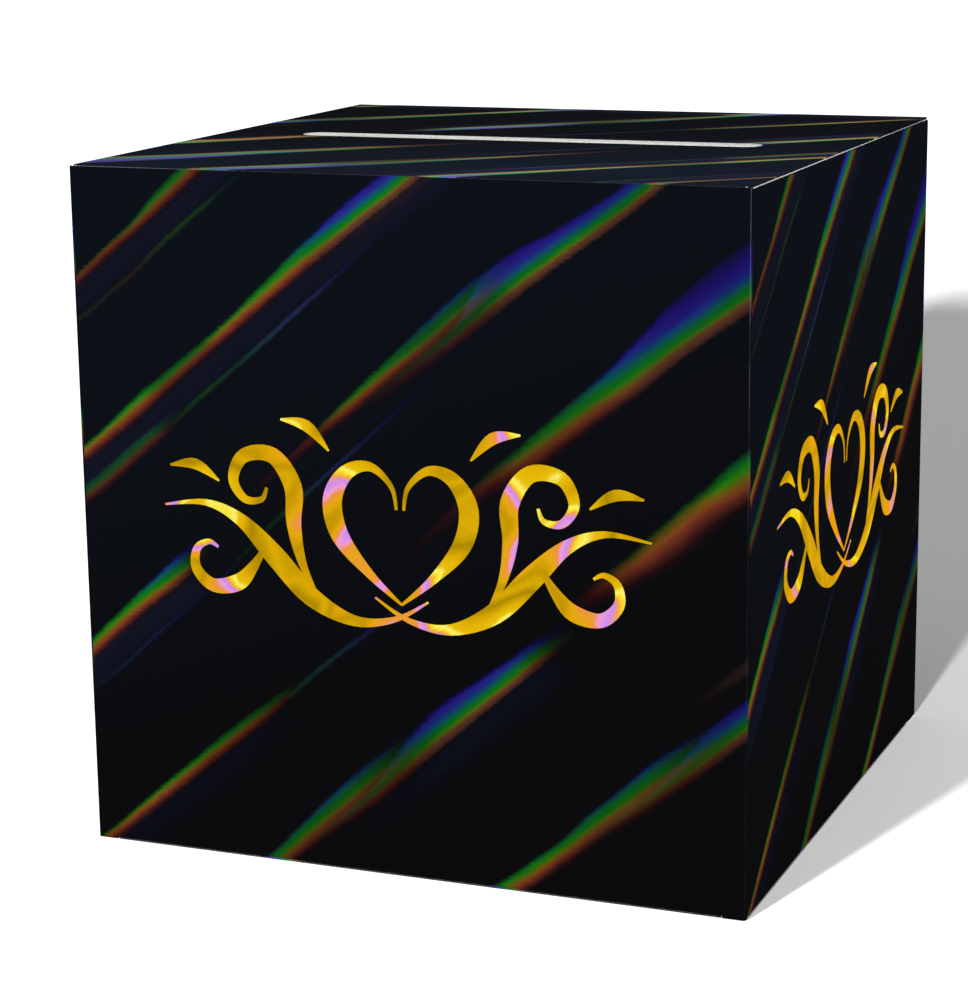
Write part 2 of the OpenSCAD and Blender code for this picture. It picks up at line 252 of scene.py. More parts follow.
# Each glint, a hair-thin streak: (u, v), its hue on the spectrum, its glow, and its width
GLINT_MAX = 20.0
GLINTS = (
    (0, ((-20, 241, .7, .4, 7), (60, 178, .7, .4, 7), (100, 147, .62, .4, 7),
         (130, 118, .75, .45, 7), (200, 60, .95, .5, 7), (240, 28, 1.5, .4, 7),
         (310, -30, 1.6, .25, 7))),
    (0, ((150, 362, 1.2, .35, 7), (200, 318, 1, .5, 7), (250, 277, 1.4, .5, 7),
         (300, 236, 1.6, .6, 7), (350, 192, 1.9, .6, 7), (400, 150, 2, .5, 7),
         (450, 105, 2.1, .4, 7), (500, 66, 2.2, .3, 7), (560, 15, 2.2, .25, 7))),
    (0, ((-20, 789, 1.5, .25, 7), (50, 733, 1.7, .4, 7), (100, 687, 1.9, .45, 7),
         (150, 643, 2, .4, 7), (200, 600, 2, .35, 7), (250, 552, 1.5, .35, 7),
         (300, 500, 1.2, .4, 7), (350, 455, 1.6, .5, 7), (400, 411, 1.9, .5, 7),
         (450, 366, 2, .45, 7), (500, 322, 2.2, .4, 7), (560, 272, 2.3, .25, 7),
         (600, 238, 2.3, 0, 7))),
    (0, ((300, 768, 1.1, 0, 7), (350, 722, 1.4, .45, 7), (400, 679, 1.6, .5, 7),
         (450, 641, 1.9, .45, 7), (500, 600, 2, .4, 7), (560, 545, 2.2, .3, 7),
         (620, 490, 2.3, 0, 7))),
    (0, ((840, 767, .2, 0, 14), (950, 681, .2, .35, 14), (1000, 640, .2, .5, 16),
         (1060, 593, .25, .6, 18))),
)

# The spectrum across a beam: 0 is its red edge and 1 its green
SPECTRUM = (
    (-.35, (0, 0, 0)), (-.05, (30, 14, 14)), (.17, (70, 28, 24)), (.39, (106, 47, 25)),
    (.61, (103, 76, 18)), (.83, (46, 103, 8)), (1.05, (8, 102, 18)), (1.28, (4, 93, 48)),
    (1.5, (6, 79, 83)), (1.72, (20, 59, 110)), (1.94, (30, 38, 121)), (2.3, (32, 26, 116)),
    (2.7, (31, 18, 105)), (3.1, (26, 15, 81)), (3.6, (19, 14, 57)), (4.1, (15, 14, 37)),
    (4.5, (0, 0, 0)),
)
SPECTRUM_START = SPECTRUM[0][0]
SPECTRUM_END = SPECTRUM[-1][0]
HAZE = (14, 16, 28)
# How far the film's fine hatching moves a line
HATCHING = 4.5
# How far below and above its red edge a line reaches at most
LANE_BELOW = 64.0
LANE_ABOVE = 92.0


def along_tilt(u, v):
    """A point's places along and across the streaks, both from 0 to 1."""
    along = u * math.cos(TILT) - v * math.sin(TILT)
    across = u * math.sin(TILT) + v * math.cos(TILT)
    return (along + BEHIND) / SPAN, across / SPAN


def draw_curve(curve, points):
    """Runs a curve widget's line through (place, value) points from 0 to 1."""
    while len(curve.points) < len(points):
        curve.points.new(1.0, 1.0)
    for point, at in zip(curve.points, points):
        point.location = at
        point.handle_type = "AUTO_CLAMPED"


def spectrum(tree, hue):
    reach = SPECTRUM_END - SPECTRUM_START
    place = calc(tree, "DIVIDE", calc(tree, "SUBTRACT", hue, SPECTRUM_START), reach)
    stops = [((at - SPECTRUM_START) / reach, colour) for at, colour in SPECTRUM]
    return ramp(tree, place, stops)


def beam_group():
    """The colours across a beam, and the haze below it."""
    tree, given, wanted = group(
        "Film beam",
        (("Off", "Float", 0.0), ("Shape", "Vector", (0, 0, 0)), ("Haze", "Float", 0.0)),
        (("Color", "Color"),))
    reach, blue, glow = parts(tree, given["Shape"])
    off = given["Off"]
    reach = calc(tree, "MULTIPLY_ADD", reach, REACH_MAX, 0.01)
    blue = calc(tree, "MULTIPLY", blue, BLUE_MAX)
    hue = calc(tree, "DIVIDE", off, reach)
    soft = 0.25
    window = step(tree, calc(tree, "SUBTRACT", hue, blue), soft, -soft)
    # A beam that runs on to violet has a duller red edge
    dull = calc(tree, "MULTIPLY", step(tree, blue, 1.0, 2.6), step(tree, hue, 0.8, 0.45))
    colour = mix(tree, calc(tree, "MULTIPLY", dull, 0.5), spectrum(tree, hue),
                 mix(tree, step(tree, hue, -0.15, 0.2), (0, 0, 0, 1), paint(62, 50, 42)))
    light = calc(tree, "POWER", glow, 2.2)
    bright = mix(tree, calc(tree, "MULTIPLY", light, window), (0, 0, 0, 1), colour)
    below = calc(tree, "MULTIPLY", step(tree, off, -LANE_BELOW, -20.0),
                 step(tree, off, 6.0, -6.0))
    share = calc(tree, "MULTIPLY", calc(tree, "MULTIPLY", below, given["Haze"]),
                 step(tree, glow, 0.0, 0.8))
    haze = mix(tree, share, (0, 0, 0, 1), paint(*HAZE))
    feed(tree, wanted["Color"], mix(tree, 1.0, bright, haze, "LIGHTEN"))
    return tree


def glint_group():
    """A hair-thin streak."""
    tree, given, wanted = group(
        "Film glint",
        (("Off", "Float", 0.0), ("Shape", "Vector", (0, 0, 0)), ("Haze", "Float", 0.0)),
        (("Color", "Color"),))
    hue, glow, width = parts(tree, given["Shape"])
    width = calc(tree, "MULTIPLY_ADD", width, GLINT_MAX, 0.01)
    place = calc(tree, "DIVIDE", calc(tree, "ABSOLUTE", given["Off"]), width)
    hair = step(tree, place, 1.0, 0.0)
    colour = mix(tree, 0.4, spectrum(tree, calc(tree, "MULTIPLY", hue, BLUE_MAX)),
                 paint(70, 76, 80))
    light = calc(tree, "MULTIPLY", calc(tree, "POWER", glow, 2.2), hair)
    feed(tree, wanted["Color"], mix(tree, light, (0, 0, 0, 1), colour))
    return tree


def lane(tree, made, lines, scales, place, across):
    """The colours of one lane's lines. Curves give each line's path and its three qualities,
    and the node group made turns those of the nearest line into a colour."""
    lane_off, lane_shape, lane_haze = 0.0, (0, 0, 0), 0.0
    for haze, line in lines:
        places = [along_tilt(point[0], point[1]) for point in line]
        path = add(tree, "FloatCurve", {"Value": place})
        draw_curve(path.mapping.curves[0], places)
        shape = add(tree, "RGBCurve", {"Color": place})
        for channel, scale in enumerate(scales):
            draw_curve(shape.mapping.curves[channel],
                       [(at[0], point[2 + channel] / scale) for at, point in zip(places, line)])
        for widget in (path, shape):
            widget.mapping.extend = "HORIZONTAL"
            widget.mapping.update()
        off = calc(tree, "MULTIPLY_ADD", path.outputs[0], SPAN, across)
        # 1 beside this line, and 0 beside the lane's other lines
        start, end = places[0][0], places[-1][0]
        near = calc(tree, "MULTIPLY",
                    calc(tree, "COMPARE", off, (LANE_ABOVE - LANE_BELOW) / 2,
                         (LANE_ABOVE + LANE_BELOW) / 2),
                    calc(tree, "COMPARE", place, (start + end) / 2, (end - start) / 2))
        lane_off = calc(tree, "MULTIPLY_ADD", near, off, lane_off)
        lane_shape = add(tree, "VectorMath", {0: shape.outputs[0], 1: near, 2: lane_shape},
                         operation="MULTIPLY_ADD").outputs[0]
        if haze:
            lane_haze = calc(tree, "MULTIPLY_ADD", near, haze, lane_haze)
    return use(tree, made, Off=lane_off, Shape=lane_shape, Haze=lane_haze)[0]


def film_group():
    """The film's printed colour at a place on a face, in thousandths of the face."""
    tree, given, wanted = group(
        "Holographic film", (("U", "Float", 0.0), ("V", "Float", 0.0)),
        (("Color", "Color"),))
    # The tile repeats: the next row is shifted, so that its streaks run on
    tile = 1000.0
    row_shift = 205.0
    row = calc(tree, "FLOOR", calc(tree, "DIVIDE", given["V"], tile))
    v = calc(tree, "MULTIPLY_ADD", row, -tile, given["V"])
    u = calc(tree, "FLOORED_MODULO", calc(tree, "MULTIPLY_ADD", row, row_shift, given["U"]), tile)
    along = calc(tree, "MULTIPLY_ADD", u, math.cos(TILT),
                 calc(tree, "MULTIPLY_ADD", v, -math.sin(TILT), BEHIND))
    across = calc(tree, "MULTIPLY_ADD", u, -math.sin(TILT),
                  calc(tree, "MULTIPLY", v, -math.cos(TILT)))
    # Fine hatching moves the streaks' edges, and long drawn lines vary their strength
    hatch = flat_noise(tree, calc(tree, "MULTIPLY", u, 0.05), calc(tree, "MULTIPLY", v, 0.36), 1.0)
    ragged = calc(tree, "MULTIPLY_ADD", hatch, HATCHING, calc(tree, "ADD", across, -HATCHING / 2))
    drawn = flat_noise(tree, calc(tree, "MULTIPLY", along, 0.006),
                       calc(tree, "MULTIPLY", across, 0.12), 2.0)
    place = calc(tree, "DIVIDE", along, SPAN)
    beam = beam_group()
    beam_scales = (REACH_MAX, BLUE_MAX, GLOW_MAX)
    streaks = lane(tree, beam, FIRST_LANE, beam_scales, place, ragged)
    second = lane(tree, beam, SECOND_LANE, beam_scales, place, ragged)
    glints = lane(tree, glint_group(), GLINTS, (BLUE_MAX, 1.0, GLINT_MAX), place, ragged)
    streaks = mix(tree, 1.0, streaks, second, "SCREEN")
    streaks = mix(tree, 1.0, streaks, glints, "LIGHTEN")
    strength = calc(tree, "MULTIPLY_ADD", drawn, 0.4, 0.8)
    grey = add(tree, "CombineColor", {0: strength, 1: strength, 2: strength}).outputs[0]
    streaks = mix(tree, 1.0, streaks, grey, "MULTIPLY")
    down = calc(tree, "MULTIPLY_ADD", u, 0.4, v)
    ground = mix(tree, step(tree, down, 200.0, 1000.0), paint(10, 14, 20), paint(9, 9, 11))
    feed(tree, wanted["Color"], mix(tree, 1.0, ground, streaks, "LIGHTEN"))
    return tree


def fibre_group():
    """Paper fibres: a tint round 1 and a height."""
    tree, given, wanted = group("Paper fibre", (("Place", "Vector", (0, 0, 0)),),
                                (("Tint", "Float"), ("Height", "Float")))
    cloud = noise(tree, given["Place"], 90.0, detail=2.0)
    stretched = add(tree, "Mapping", {"Vector": given["Place"], "Scale": (1, 0.25, 2.5)}).outputs[0]
    hairs = noise(tree, stretched, 1400.0, detail=2.0, rough=0.7, warp=1.5)
    tint = calc(tree, "ADD", calc(tree, "MULTIPLY", cloud, 0.05), calc(tree, "MULTIPLY", hairs, 0.07))
    feed(tree, wanted["Tint"], calc(tree, "ADD", tint, 0.93))
    feed(tree, wanted["Height"], hairs)
    return tree


def fold_rub_and_highlight_group():
    """Where handling wears the carton's upright folds, and where a highlight is painted on them: most
    near the top, in short stretches.
    """
    tree, given, wanted = group("Fold wear and painted highlight", (("Place", "Vector", (0, 0, 0)),),
                                (("Mask", "Float"),))
    place = parts(tree, given["Place"])
    fold = 1.0
    for axis, half in (("X", HALF_W), ("Y", HALF_D)):
        close = step(tree, calc(tree, "ABSOLUTE", place[axis]),
                     half - 0.45 * FOLD_OUT, half - 0.25 * FOLD_OUT)
        fold = calc(tree, "MULTIPLY", fold, close)
    patchy = step(tree, noise(tree, given["Place"], 90.0, detail=4.0), 0.36, 0.62)
    high = calc(tree, "MULTIPLY_ADD", step(tree, place["Z"], 0.45 * TOP, TOP), 0.9, 0.1)
    amount = calc(tree, "MULTIPLY", high, calc(tree, "MULTIPLY_ADD", patchy, 0.6, 0.4))
    feed(tree, wanted["Mask"], calc(tree, "MULTIPLY", fold, amount))
    return tree


FILM_TREE = film_group()
FIBRE_TREE = fibre_group()
FOLD_RUB_AND_HIGHLIGHT_TREE = fold_rub_and_highlight_group()


# ---- Materials ----

BOARD_WHITE = (226, 225, 223)
# Colour of the worn folds, which is also a painted highlight on them
RUB_AND_HIGHLIGHT_FILM = (104, 112, 136)
# A sheen painted into the lid's colour
PAINTED_BLUE_SHEEN = (24, 38, 58)
# Shares of a clear coat's reflection that the film keeps
WALL_GLOSS = 0.0035
LID_GLOSS = 0.004
# The axis along each wall, and its sign from left to right, seen from outside
WALLS = {"front": ("X", 1), "right": ("Y", 1), "back": ("X", -1), "left": ("Y", -1)}


def new_material(name):
    material = bpy.data.materials.new(name)
    material.use_nodes = True
    tree = material.node_tree
    tree.nodes.clear()
    shader = add(tree, "BsdfPrincipled")
    out = add(tree, "OutputMaterial", {"Surface": shader.outputs[0]})
    out.is_active_output = True
    return material, tree, shader


def along_wall(tree, place, wall):
    """Distance along a wall from its left end, seen from outside, in thousandths of its width."""
    axis, sign = WALLS[wall]
    half = HALF_W if axis == "X" else HALF_D
    scale = sign * 500.0 / half
    return calc(tree, "MULTIPLY_ADD", place[axis], scale, 500.0)


def board_colour(tree, fibre):
    tinted = {"Value": fibre["Tint"], "Color": paint(*BOARD_WHITE)}
    return add(tree, "HueSaturation", tinted).outputs[0]


def film_board(name, coordinates, outside, change=None, gloss=WALL_GLOSS):
    """Laminated board. coordinates(tree, place) gives u and v, outside(tree, place, normal) is
    1 where the film lies, and change(tree, film, at), where given, adds this piece's wear and painted
    light to its colours."""
    material, tree, shader = new_material(name)
    texture = add(tree, "TexCoord").outputs
    place, normal = parts(tree, texture["Object"]), parts(tree, texture["Normal"])
    u, v = coordinates(tree, place)
    film = use(tree, FILM_TREE, U=u, V=v)["Color"]
    if change:
        film = change(tree, film, texture["Object"])
    fibre = use(tree, FIBRE_TREE, Place=texture["Object"])
    board = board_colour(tree, fibre)
    covered = outside(tree, place, normal)
    feed(tree, shader.inputs["Base Color"], mix(tree, covered, board, film))
    smudge = noise(tree, texture["Object"], 22.0, detail=1.0)
    sheen = calc(tree, "MULTIPLY_ADD", smudge, -0.5, 1.25)
    rough = calc(tree, "MULTIPLY_ADD", covered, -0.55, 0.85)
    feed(tree, shader.inputs["Roughness"], calc(tree, "MULTIPLY_ADD", smudge, 0.1, rough))
    feed(tree, shader.inputs["Coat Weight"],
         calc(tree, "MULTIPLY", calc(tree, "MULTIPLY", covered, sheen), gloss))
    shader.inputs["Specular IOR Level"].default_value = 0.0
    shader.inputs["Coat Roughness"].default_value = 0.12
    bump = add(tree, "Bump", {"Height": fibre["Height"], "Distance": 0.00004,
                              "Strength": calc(tree, "MULTIPLY_ADD", covered, -0.85, 1.0)})
    feed(tree, shader.inputs["Normal"], bump.outputs[0])
    return material


def outer_distance(tree, place):
    """Distance outside the carton's rounded outline, negative inside it."""
    beyond = []
    for axis, half in (("X", HALF_W), ("Y", HALF_D)):
        beyond.append(calc(tree, "SUBTRACT", calc(tree, "ABSOLUTE", place[axis]), half - FOLD_OUT))
    past = [calc(tree, "MAXIMUM", value, 0.0) for value in beyond]
    corner = calc(tree, "SQRT", calc(tree, "ADD", calc(tree, "MULTIPLY", past[0], past[0]),
                                     calc(tree, "MULTIPLY", past[1], past[1])))
    flat = calc(tree, "MINIMUM", calc(tree, "MAXIMUM", beyond[0], beyond[1]), 0.0)
    return calc(tree, "SUBTRACT", calc(tree, "ADD", corner, flat), FOLD_OUT)


def on_outline(tree, place, depth=FILM):
    """1 on the carton's outside, to a depth at which the film ends on a cut edge."""
    beyond = calc(tree, "ADD", outer_distance(tree, place), depth)
    return calc(tree, "GREATER_THAN", beyond, 0.0)


def worn_and_highlit(tree, film, at):
    """A wall's film, worn along the upright folds, with a highlight painted there too."""
    mask = use(tree, FOLD_RUB_AND_HIGHLIGHT_TREE, Place=at)["Mask"]
    return mix(tree, calc(tree, "MULTIPLY", mask, 0.6), film, paint(*RUB_AND_HIGHLIGHT_FILM))


def wall_film(wall, crease):
    """Film on a wall, which also runs over its top where that is a crease."""
    def coordinates(tree, place):
        return along_wall(tree, place, wall), calc(tree, "MULTIPLY_ADD", place["Z"], -1000 / TOP, 1000.0)

    def outside(tree, place, normal):
        if wall == "front":
            # The film covers less of the top cut towards the left, so that its white core shows there as
            # a painted highlight along the front top edge, fading towards the right
            cover_share = step(tree, place["X"], -HALF_W, -0.3 * HALF_W)
            covered = on_outline(tree, place, calc(tree, "MULTIPLY_ADD", cover_share, 0.5 * BOARD, 0.4 * BOARD))
        else:
            covered = on_outline(tree, place)
        if crease is not None:
            other = "X" if WALLS[wall][0] == "X" else "Y"
            half = HALF_W if other == "X" else HALF_D
            run = calc(tree, "LESS_THAN", calc(tree, "ABSOLUTE", place[other]), half - FOLD_OUT)
            over = calc(tree, "MULTIPLY", run, calc(tree, "GREATER_THAN", place["Z"], crease))
            covered = calc(tree, "MAXIMUM", covered, over)
        return covered

    return film_board(f"film on the {wall} wall", coordinates, outside, worn_and_highlit)


def lid_coordinates(tree, place):
    """The lid's film lies the other way round."""
    u = calc(tree, "MULTIPLY_ADD", place["X"], -500 / HALF_W, 500.0)
    return u, calc(tree, "MULTIPLY_ADD", place["Y"], 500 / HALF_D, 550.0)


def lid_film():
    def outside(tree, place, normal):
        # The film reaches further down the cut sides towards the back, so that less of their white core
        # shows there
        cover_share = step(tree, place["Y"], -0.6 * HALF_D, HALF_D)
        side_cover = calc(tree, "MULTIPLY_ADD", cover_share, 0.2 * BOARD, 0.72 * BOARD)
        side = calc(tree, "GREATER_THAN", calc(tree, "ABSOLUTE", place["X"]), HALF_W - 2 * MM)
        depth = calc(tree, "MULTIPLY_ADD", side, calc(tree, "SUBTRACT", side_cover, FILM), FILM)
        top = calc(tree, "GREATER_THAN", calc(tree, "ADD", place["Z"], depth), TOP)
        nose = calc(tree, "LESS_THAN", place["Y"], TUCK_AXIS_Y)
        return calc(tree, "MAXIMUM", top, nose)

    def lid_painted_light(tree, film, at):
        """Painted light on the lid: its streaks are painted brighter and nearer to white, and a painted
        blue sheen lies towards its front.
        """
        bright = add(tree, "HueSaturation", {"Hue": 0.52, "Saturation": 0.8, "Value": 2.75,
                                             "Color": film}).outputs[0]
        streaks = mix(tree, 1.0, bright, paint(15, 13, 13), "SUBTRACT")
        # Painted sheen: blue added to the colour, strongest towards the front
        forward = step(tree, parts(tree, at)["Y"], 0.2 * HALF_D, -HALF_D)
        strength = calc(tree, "MULTIPLY_ADD", forward, 0.27, 0.04)
        sheen = calc(tree, "MULTIPLY", noise(tree, at, 14.0, detail=1.0), strength)
        return mix(tree, sheen, streaks, paint(*PAINTED_BLUE_SHEEN), "ADD")

    return film_board("film on the lid", lid_coordinates, outside, lid_painted_light, LID_GLOSS)


def tuck_film():
    def coordinates(tree, place):
        u = lid_coordinates(tree, place)[0]
        return u, calc(tree, "MULTIPLY_ADD", calc(tree, "SUBTRACT", place["Z"], TOP), 500 / HALF_D, 50.0)

    def outside(tree, place, normal):
        return calc(tree, "LESS_THAN", normal["Y"], -0.5)

    return film_board("film on the tuck flap", coordinates, outside)


def inwards(tree, place, wall):
    """Distance in from a wall's outer face, in thousandths of the height."""
    axis, sign = {"front": ("Y", 1), "right": ("X", -1), "back": ("Y", -1), "left": ("X", 1)}[wall]
    half = HALF_D if axis == "Y" else HALF_W
    return calc(tree, "MULTIPLY_ADD", place[axis], sign * 1000 / TOP, half * 1000 / TOP)


def dust_film(wall):
    def coordinates(tree, place):
        return along_wall(tree, place, wall), calc(tree, "MULTIPLY", inwards(tree, place, wall), -1.0)

    def outside(tree, place, normal):
        return calc(tree, "GREATER_THAN", normal["Z"], 0.5)

    return film_board(f"film on the {wall} dust flap", coordinates, outside)


def base_film(wall):
    def coordinates(tree, place):
        return along_wall(tree, place, wall), calc(tree, "ADD", inwards(tree, place, wall), 1000.0)

    def outside(tree, place, normal):
        under = calc(tree, "LESS_THAN", normal["Z"], -0.35)
        return calc(tree, "MAXIMUM", under, on_outline(tree, place))

    return film_board(f"film on the {wall} base flap", coordinates, outside)


def white_board():
    material, tree, shader = new_material("white board")
    place = add(tree, "TexCoord").outputs["Object"]
    fibre = use(tree, FIBRE_TREE, Place=place)
    feed(tree, shader.inputs["Base Color"], board_colour(tree, fibre))
    feed(tree, shader.inputs["Roughness"], calc(tree, "MULTIPLY_ADD", fibre["Height"], 0.2, 0.7))
    shader.inputs["Specular IOR Level"].default_value = 0.3
    bump = add(tree, "Bump", {"Height": fibre["Height"], "Distance": 0.00004})
    feed(tree, shader.inputs["Normal"], bump.outputs[0])
    return material


def dried_glue():
    material, tree, shader = new_material("dried glue")
    place = add(tree, "TexCoord").outputs["Object"]
    ripples = noise(tree, place, 260.0, detail=3.0, warp=0.8)
    feed(tree, shader.inputs["Base Color"], ramp(tree, ripples, (
        (0.3, (214, 204, 176)), (0.7, (236, 230, 210)))))
    feed(tree, shader.inputs["Roughness"], calc(tree, "MULTIPLY_ADD", ripples, 0.3, 0.25))
    bump = add(tree, "Bump", {"Height": ripples, "Distance": 0.00005})
    feed(tree, shader.inputs["Normal"], bump.outputs[0])
    return material


# Gold foil: its colours over one band, from band to band. The pinks and violets are the foil's own, the
# brightest yellows are a painted highlight and the darker golds a painted darker reflection.
FOIL_COLOURS_AND_REFLECTIONS = (
    (0.0, (226, 176, 4)), (0.16, (172, 136, 2)), (0.3, (222, 174, 6)), (0.44, (196, 150, 2)),
    (0.56, (232, 172, 14)), (0.63, (240, 150, 60)), (0.67, (242, 160, 214)),
    (0.72, (206, 142, 248)), (0.76, (244, 160, 70)), (0.8, (252, 226, 30)),
    (0.84, (255, 248, 110)), (0.88, (236, 194, 12)), (1.0, (226, 176, 4)),
)
FOIL_BAND = 235.0


def gold_foil(wall):
    material, tree, shader = new_material(f"gold foil on the {wall} wall")
    place = parts(tree, add(tree, "TexCoord").outputs["Object"])
    u = along_wall(tree, place, wall)
    v = calc(tree, "MULTIPLY_ADD", place["Z"], -1000 / TOP, 1000.0)
    # Bands lie across the film's streaks, and wander
    along = calc(tree, "MULTIPLY_ADD", u, math.cos(TILT), calc(tree, "MULTIPLY", v, -math.sin(TILT)))
    across = calc(tree, "MULTIPLY_ADD", u, math.sin(TILT), calc(tree, "MULTIPLY", v, math.cos(TILT)))
    wander = flat_noise(tree, calc(tree, "MULTIPLY", along, 0.006),
                        calc(tree, "MULTIPLY", across, 0.014), 1.0)
    fine = flat_noise(tree, calc(tree, "MULTIPLY", along, 0.09), calc(tree, "MULTIPLY", across, 0.5), 2.0)
    moved = calc(tree, "MULTIPLY_ADD", wander, 1.1 * FOIL_BAND, along)
    moved = calc(tree, "MULTIPLY_ADD", fine, 0.07 * FOIL_BAND, moved)
    band = calc(tree, "FRACT", calc(tree, "DIVIDE", moved, FOIL_BAND))
    # Painted reflection: the bright and darker gold bands in the base colour stand for the metal's
    # reflections
    feed(tree, shader.inputs["Base Color"], ramp(tree, band, FOIL_COLOURS_AND_REFLECTIONS))
    shader.inputs["Metallic"].default_value = 1.0
    shader.inputs["Specular Tint"].default_value = paint(255, 226, 130)
    feed(tree, shader.inputs["Roughness"], calc(tree, "MULTIPLY_ADD", fine, 0.2, 0.2))
    bump = add(tree, "Bump", {"Height": fine, "Distance": 0.00003, "Strength": 0.5})
    feed(tree, shader.inputs["Normal"], bump.outputs[0])
    return material


def dress(white):
    """Gives every CAD node its material. white is the bare board."""
    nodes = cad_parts
    finishes = {
        "front_panel": wall_film("front", None),
        "right_panel": wall_film("right", DUST_AXIS_Z),
        "back_panel": wall_film("back", LID_AXIS_Z),
        "left_panel": wall_film("left", DUST_AXIS_Z),
        "lid_panel": lid_film(),
        "tuck_flap": tuck_film(),
        "glue_tab": white,
        "seam_glue": dried_glue(),
    }
    for wall in WALLS:
        finishes[f"bottom_{wall}_flap"] = base_film(wall)
        finishes[f"{wall}_foil"] = gold_foil(wall)
    for wall in ("right", "left"):
        finishes[f"{wall}_dust_flap"] = dust_film(wall)
    for name, material in finishes.items():
        nodes[name].data.materials.clear()
        nodes[name].data.materials.append(material)


# ---- Creases ----

SLICES = 12
# Share of its thickness that the board loses in the middle of a bend
CRUSH = 0.15
HALF_STRIP = 0.33 * MM
# A strip fills the gap that the CAD leaves in a crease, and runs on into the board beside it
RUN_ON = 0.1 * MM
RUN_ON_FLAP = 0.05 * MM
TUCK_INSET = 0.3 * MM


def crease_film():
    def outside(tree, place, normal):
        return 1.0

    return film_board("film over a crease", lid_coordinates, outside)


def crease_strip(name, low, high, across, outward, finishes):
    """Board over a crease, between two corners, sliced across and pressed thinner towards its
    middle. finishes is its inner material and its outer one."""
    low, high = Vector(low), Vector(high)
    middle = (low + high) / 2
    bpy.ops.object.select_all(action="DESELECT")
    bpy.ops.mesh.primitive_cube_add(size=1, location=middle, scale=high - low)
    strip = bpy.context.object
    strip.name = strip.data.name = name
    bpy.ops.object.transform_apply()
    bpy.ops.object.mode_set(mode="EDIT")
    for number in range(1, SLICES):
        share = number / SLICES
        bpy.ops.mesh.select_all(action="SELECT")
        bpy.ops.mesh.bisect(plane_co=low.lerp(high, share), plane_no=across)
        # Only the new cut is selected: press the board thinner there
        thinner = CRUSH * math.sin(math.pi * share)
        bpy.ops.transform.resize(value=[1 - thinner * abs(part) for part in outward],
                                 center_override=middle)
    bpy.ops.object.mode_set(mode="OBJECT")
    for material in finishes:
        strip.data.materials.append(material)
    for face in strip.data.polygons:
        face.material_index = int(face.normal.dot(Vector(outward)) > 0.5)
    bpy.ops.object.shade_smooth_by_angle(angle=math.radians(30))
    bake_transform(strip)


def crease(white):
    """A strip over each crease that moves."""
    finishes = (white, crease_film())
    lid_low, lid_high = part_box("lid_panel")
    half = HALF_W - FOLD_OUT - RUN_ON
    wall_end = HALF_D - BOARD
    crease_strip("lid_crease",
                 low=(-half, lid_high.y - RUN_ON_FLAP, LID_AXIS_Z - HALF_STRIP),
                 high=(half, wall_end + RUN_ON, LID_AXIS_Z + HALF_STRIP),
                 across=(0, 1, 0), outward=(0, 0, 1),
                 finishes=finishes)

    tuck_low, tuck_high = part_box("tuck_flap")
    # The tuck flap leans in, and the strip lies halfway between it and the lid's front
    middle = (TUCK_AXIS_Y + tuck_low.y + HALF_BOARD) / 2
    crease_strip("tuck_crease",
                 low=(tuck_low.x + TUCK_INSET, middle - HALF_STRIP, tuck_high.z - RUN_ON),
                 high=(tuck_high.x - TUCK_INSET, middle + HALF_STRIP, lid_low.z + RUN_ON),
                 across=(0, 0, 1), outward=(0, -1, 0),
                 finishes=finishes)

    dust_low, dust_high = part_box("right_dust_flap")
    wall_end = HALF_W - BOARD
    for side, sign in (("right", 1), ("left", -1)):
        ends = sorted((sign * (dust_high.x - RUN_ON_FLAP), sign * (wall_end + RUN_ON)))
        crease_strip(f"{side}_dust_crease",
                     low=(ends[0], dust_low.y + RUN_ON, DUST_AXIS_Z - HALF_STRIP),
                     high=(ends[1], dust_high.y - RUN_ON, DUST_AXIS_Z + HALF_STRIP),
                     across=(1, 0, 0), outward=(0, 0, 1),
                     finishes=finishes)


# ---- Room ----

FLOOR_HALF = 30.0
FLOOR_DOWN = 0.1 * MM
FLOOR_WHITE = 0.9
# The floor's own light for the camera, with which it reaches white
FLOOR_LIFT = 0.06
AMBIENT = 0.34


def seen_directly(tree):
    """Two masks: where the camera looks straight at it, and where a reflection or glass does."""
    path = add(tree, "LightPath").outputs
    mirrored = calc(tree, "MAXIMUM", path["Is Glossy Ray"], path["Is Transmission Ray"])
    return path["Is Camera Ray"], mirrored


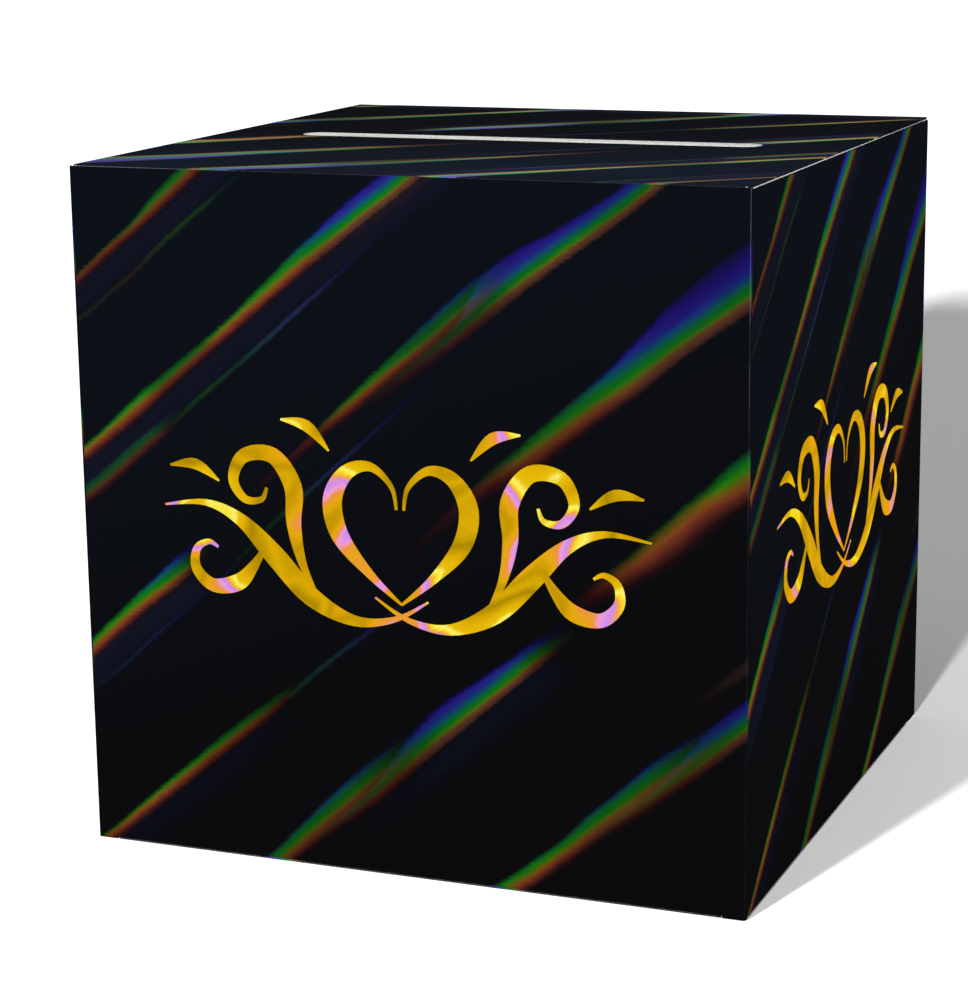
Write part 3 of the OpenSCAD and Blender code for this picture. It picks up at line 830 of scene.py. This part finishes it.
def make_room():
    world = bpy.data.worlds.new("studio")
    scene.world = world
    world.use_nodes = True
    tree = world.node_tree
    tree.nodes.clear()
    camera, mirrored = seen_directly(tree)
    white = calc(tree, "MAXIMUM", camera, mirrored)
    colour = mix(tree, white, (AMBIENT, AMBIENT, AMBIENT, 1), (1, 1, 1, 1))
    back = add(tree, "Background", {"Color": colour})
    add(tree, "OutputWorld", {"Surface": back.outputs[0]})

    bpy.ops.mesh.primitive_plane_add(size=2 * FLOOR_HALF, location=(0, 0, -FLOOR_DOWN))
    floor = bpy.context.object
    floor.name = "floor"
    material = bpy.data.materials.new("pale floor")
    material.use_nodes = True
    tree = material.node_tree
    tree.nodes.clear()
    camera, mirrored = seen_directly(tree)
    plain = add(tree, "BsdfDiffuse", {"Color": (FLOOR_WHITE, FLOOR_WHITE, FLOOR_WHITE, 1)})
    own = add(tree, "Emission", {"Color": (1, 1, 1, 1),
                                 "Strength": calc(tree, "MULTIPLY", camera, FLOOR_LIFT)})
    lit = add(tree, "AddShader", {0: plain.outputs[0], 1: own.outputs[0]})
    bright = add(tree, "Emission", {"Color": (1, 1, 1, 1), "Strength": 1.0})
    shown = add(tree, "MixShader", {0: mirrored, 1: lit.outputs[0], 2: bright.outputs[0]})
    behind = add(tree, "MixShader", {0: add(tree, "NewGeometry").outputs["Backfacing"],
                                     1: shown.outputs[0], 2: add(tree, "BsdfTransparent").outputs[0]})
    add(tree, "OutputMaterial", {"Surface": behind.outputs[0]})
    floor.data.materials.append(material)
    return floor


def place_lamp(name, data, only):
    """A lamp that lights only the objects in only."""
    lamp = bpy.data.objects.new(name, data)
    scene.collection.objects.link(lamp)
    lamp.light_linking.receiver_collection = only
    return lamp


def sun(name, towards, strength, softness, only):
    """A distant lamp shining along towards."""
    data = bpy.data.lights.new(name, "SUN")
    data.energy = strength
    data.angle = math.radians(softness)
    lamp = place_lamp(name, data, only)
    lamp.rotation_mode = "QUATERNION"
    lamp.rotation_quaternion = Vector(towards).to_track_quat("-Z", "Y")
    return lamp


def bulb(name, place, radius, energy, only):
    """A small round lamp, which no reflection shows."""
    data = bpy.data.lights.new(name, "POINT")
    data.shadow_soft_size = radius
    data.energy = energy
    lamp = place_lamp(name, data, only)
    lamp.location = place
    lamp.visible_camera = lamp.visible_glossy = False
    return lamp


def even_bulb(name, place, radius, light, only):
    """A bulb that lights the whole floor evenly, with shadows that spread."""
    data = bulb(name, place, radius, 1.0, only).data
    data.use_nodes = True
    tree = data.node_tree
    tree.nodes.clear()
    # The floor meets this light at a slope of height to distance, which the distance undoes
    power = 4 * math.pi ** 2 * light / place[2]
    steady = add(tree, "LightFalloff", {"Strength": power}).outputs["Constant"]
    reach = add(tree, "LightPath").outputs["Ray Length"]
    glow = add(tree, "Emission", {"Strength": calc(tree, "MULTIPLY", steady, reach)})
    add(tree, "OutputLight", {"Surface": glow.outputs[0]})


def link_group(name, objects, state="INCLUDE"):
    """A collection for a lamp's links, of the objects that it lights or of those it leaves out."""
    made = bpy.data.collections.new(name)
    for item in objects:
        made.objects.link(item)
    for entry in made.collection_objects:
        entry.light_linking.link_state = state
    return made


def light_room(floor):
    # The inner walls that are seen through the slot have a lamp of their own
    seen = [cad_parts[name] for name in ("back_panel", "left_panel", "glue_tab", "left_dust_flap")]
    floor_only = link_group("lit floor", [floor])
    lid_only = link_group("lit lid", [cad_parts["lid_panel"]])
    inner_walls = link_group("lit inside", seen)
    outside = link_group("lit outside", [floor] + seen, "EXCLUDE")
    all_but_floor = link_group("lit object", [floor], "EXCLUDE")

    slope = math.tan(math.radians(12.4))
    sun("floor lamp behind", (-0.03, 1, -slope), strength=5.3, softness=3, only=floor_only)
    even_bulb("floor lamp in front", (-0.127, -1.19, 0.54), radius=0.03, light=0.75, only=floor_only)
    sun("key lamp", (0.25, 1, -0.85), strength=1.3, softness=25, only=outside)
    sun("side lamp", (-1, 0.35, -0.25), strength=1.2, softness=25, only=outside)
    sun("top lamp", (0, 0, -1), strength=0.9, softness=25, only=lid_only)
    # The floor would hide the base from this one
    under = sun("under lamp", (0, 0, 1), strength=1.5, softness=60, only=all_but_floor)
    under.light_linking.blocker_collection = all_but_floor
    under.visible_glossy = False
    bulb("lamp inside", (0.3 * HALF_W, -0.8 * HALF_D, 0.4 * TOP),
         radius=0.02, energy=1.85, only=inner_walls)


place_camera()
bare = white_board()
dress(bare)
crease(bare)
scene.view_settings.view_transform = "Standard"
light_room(make_room())
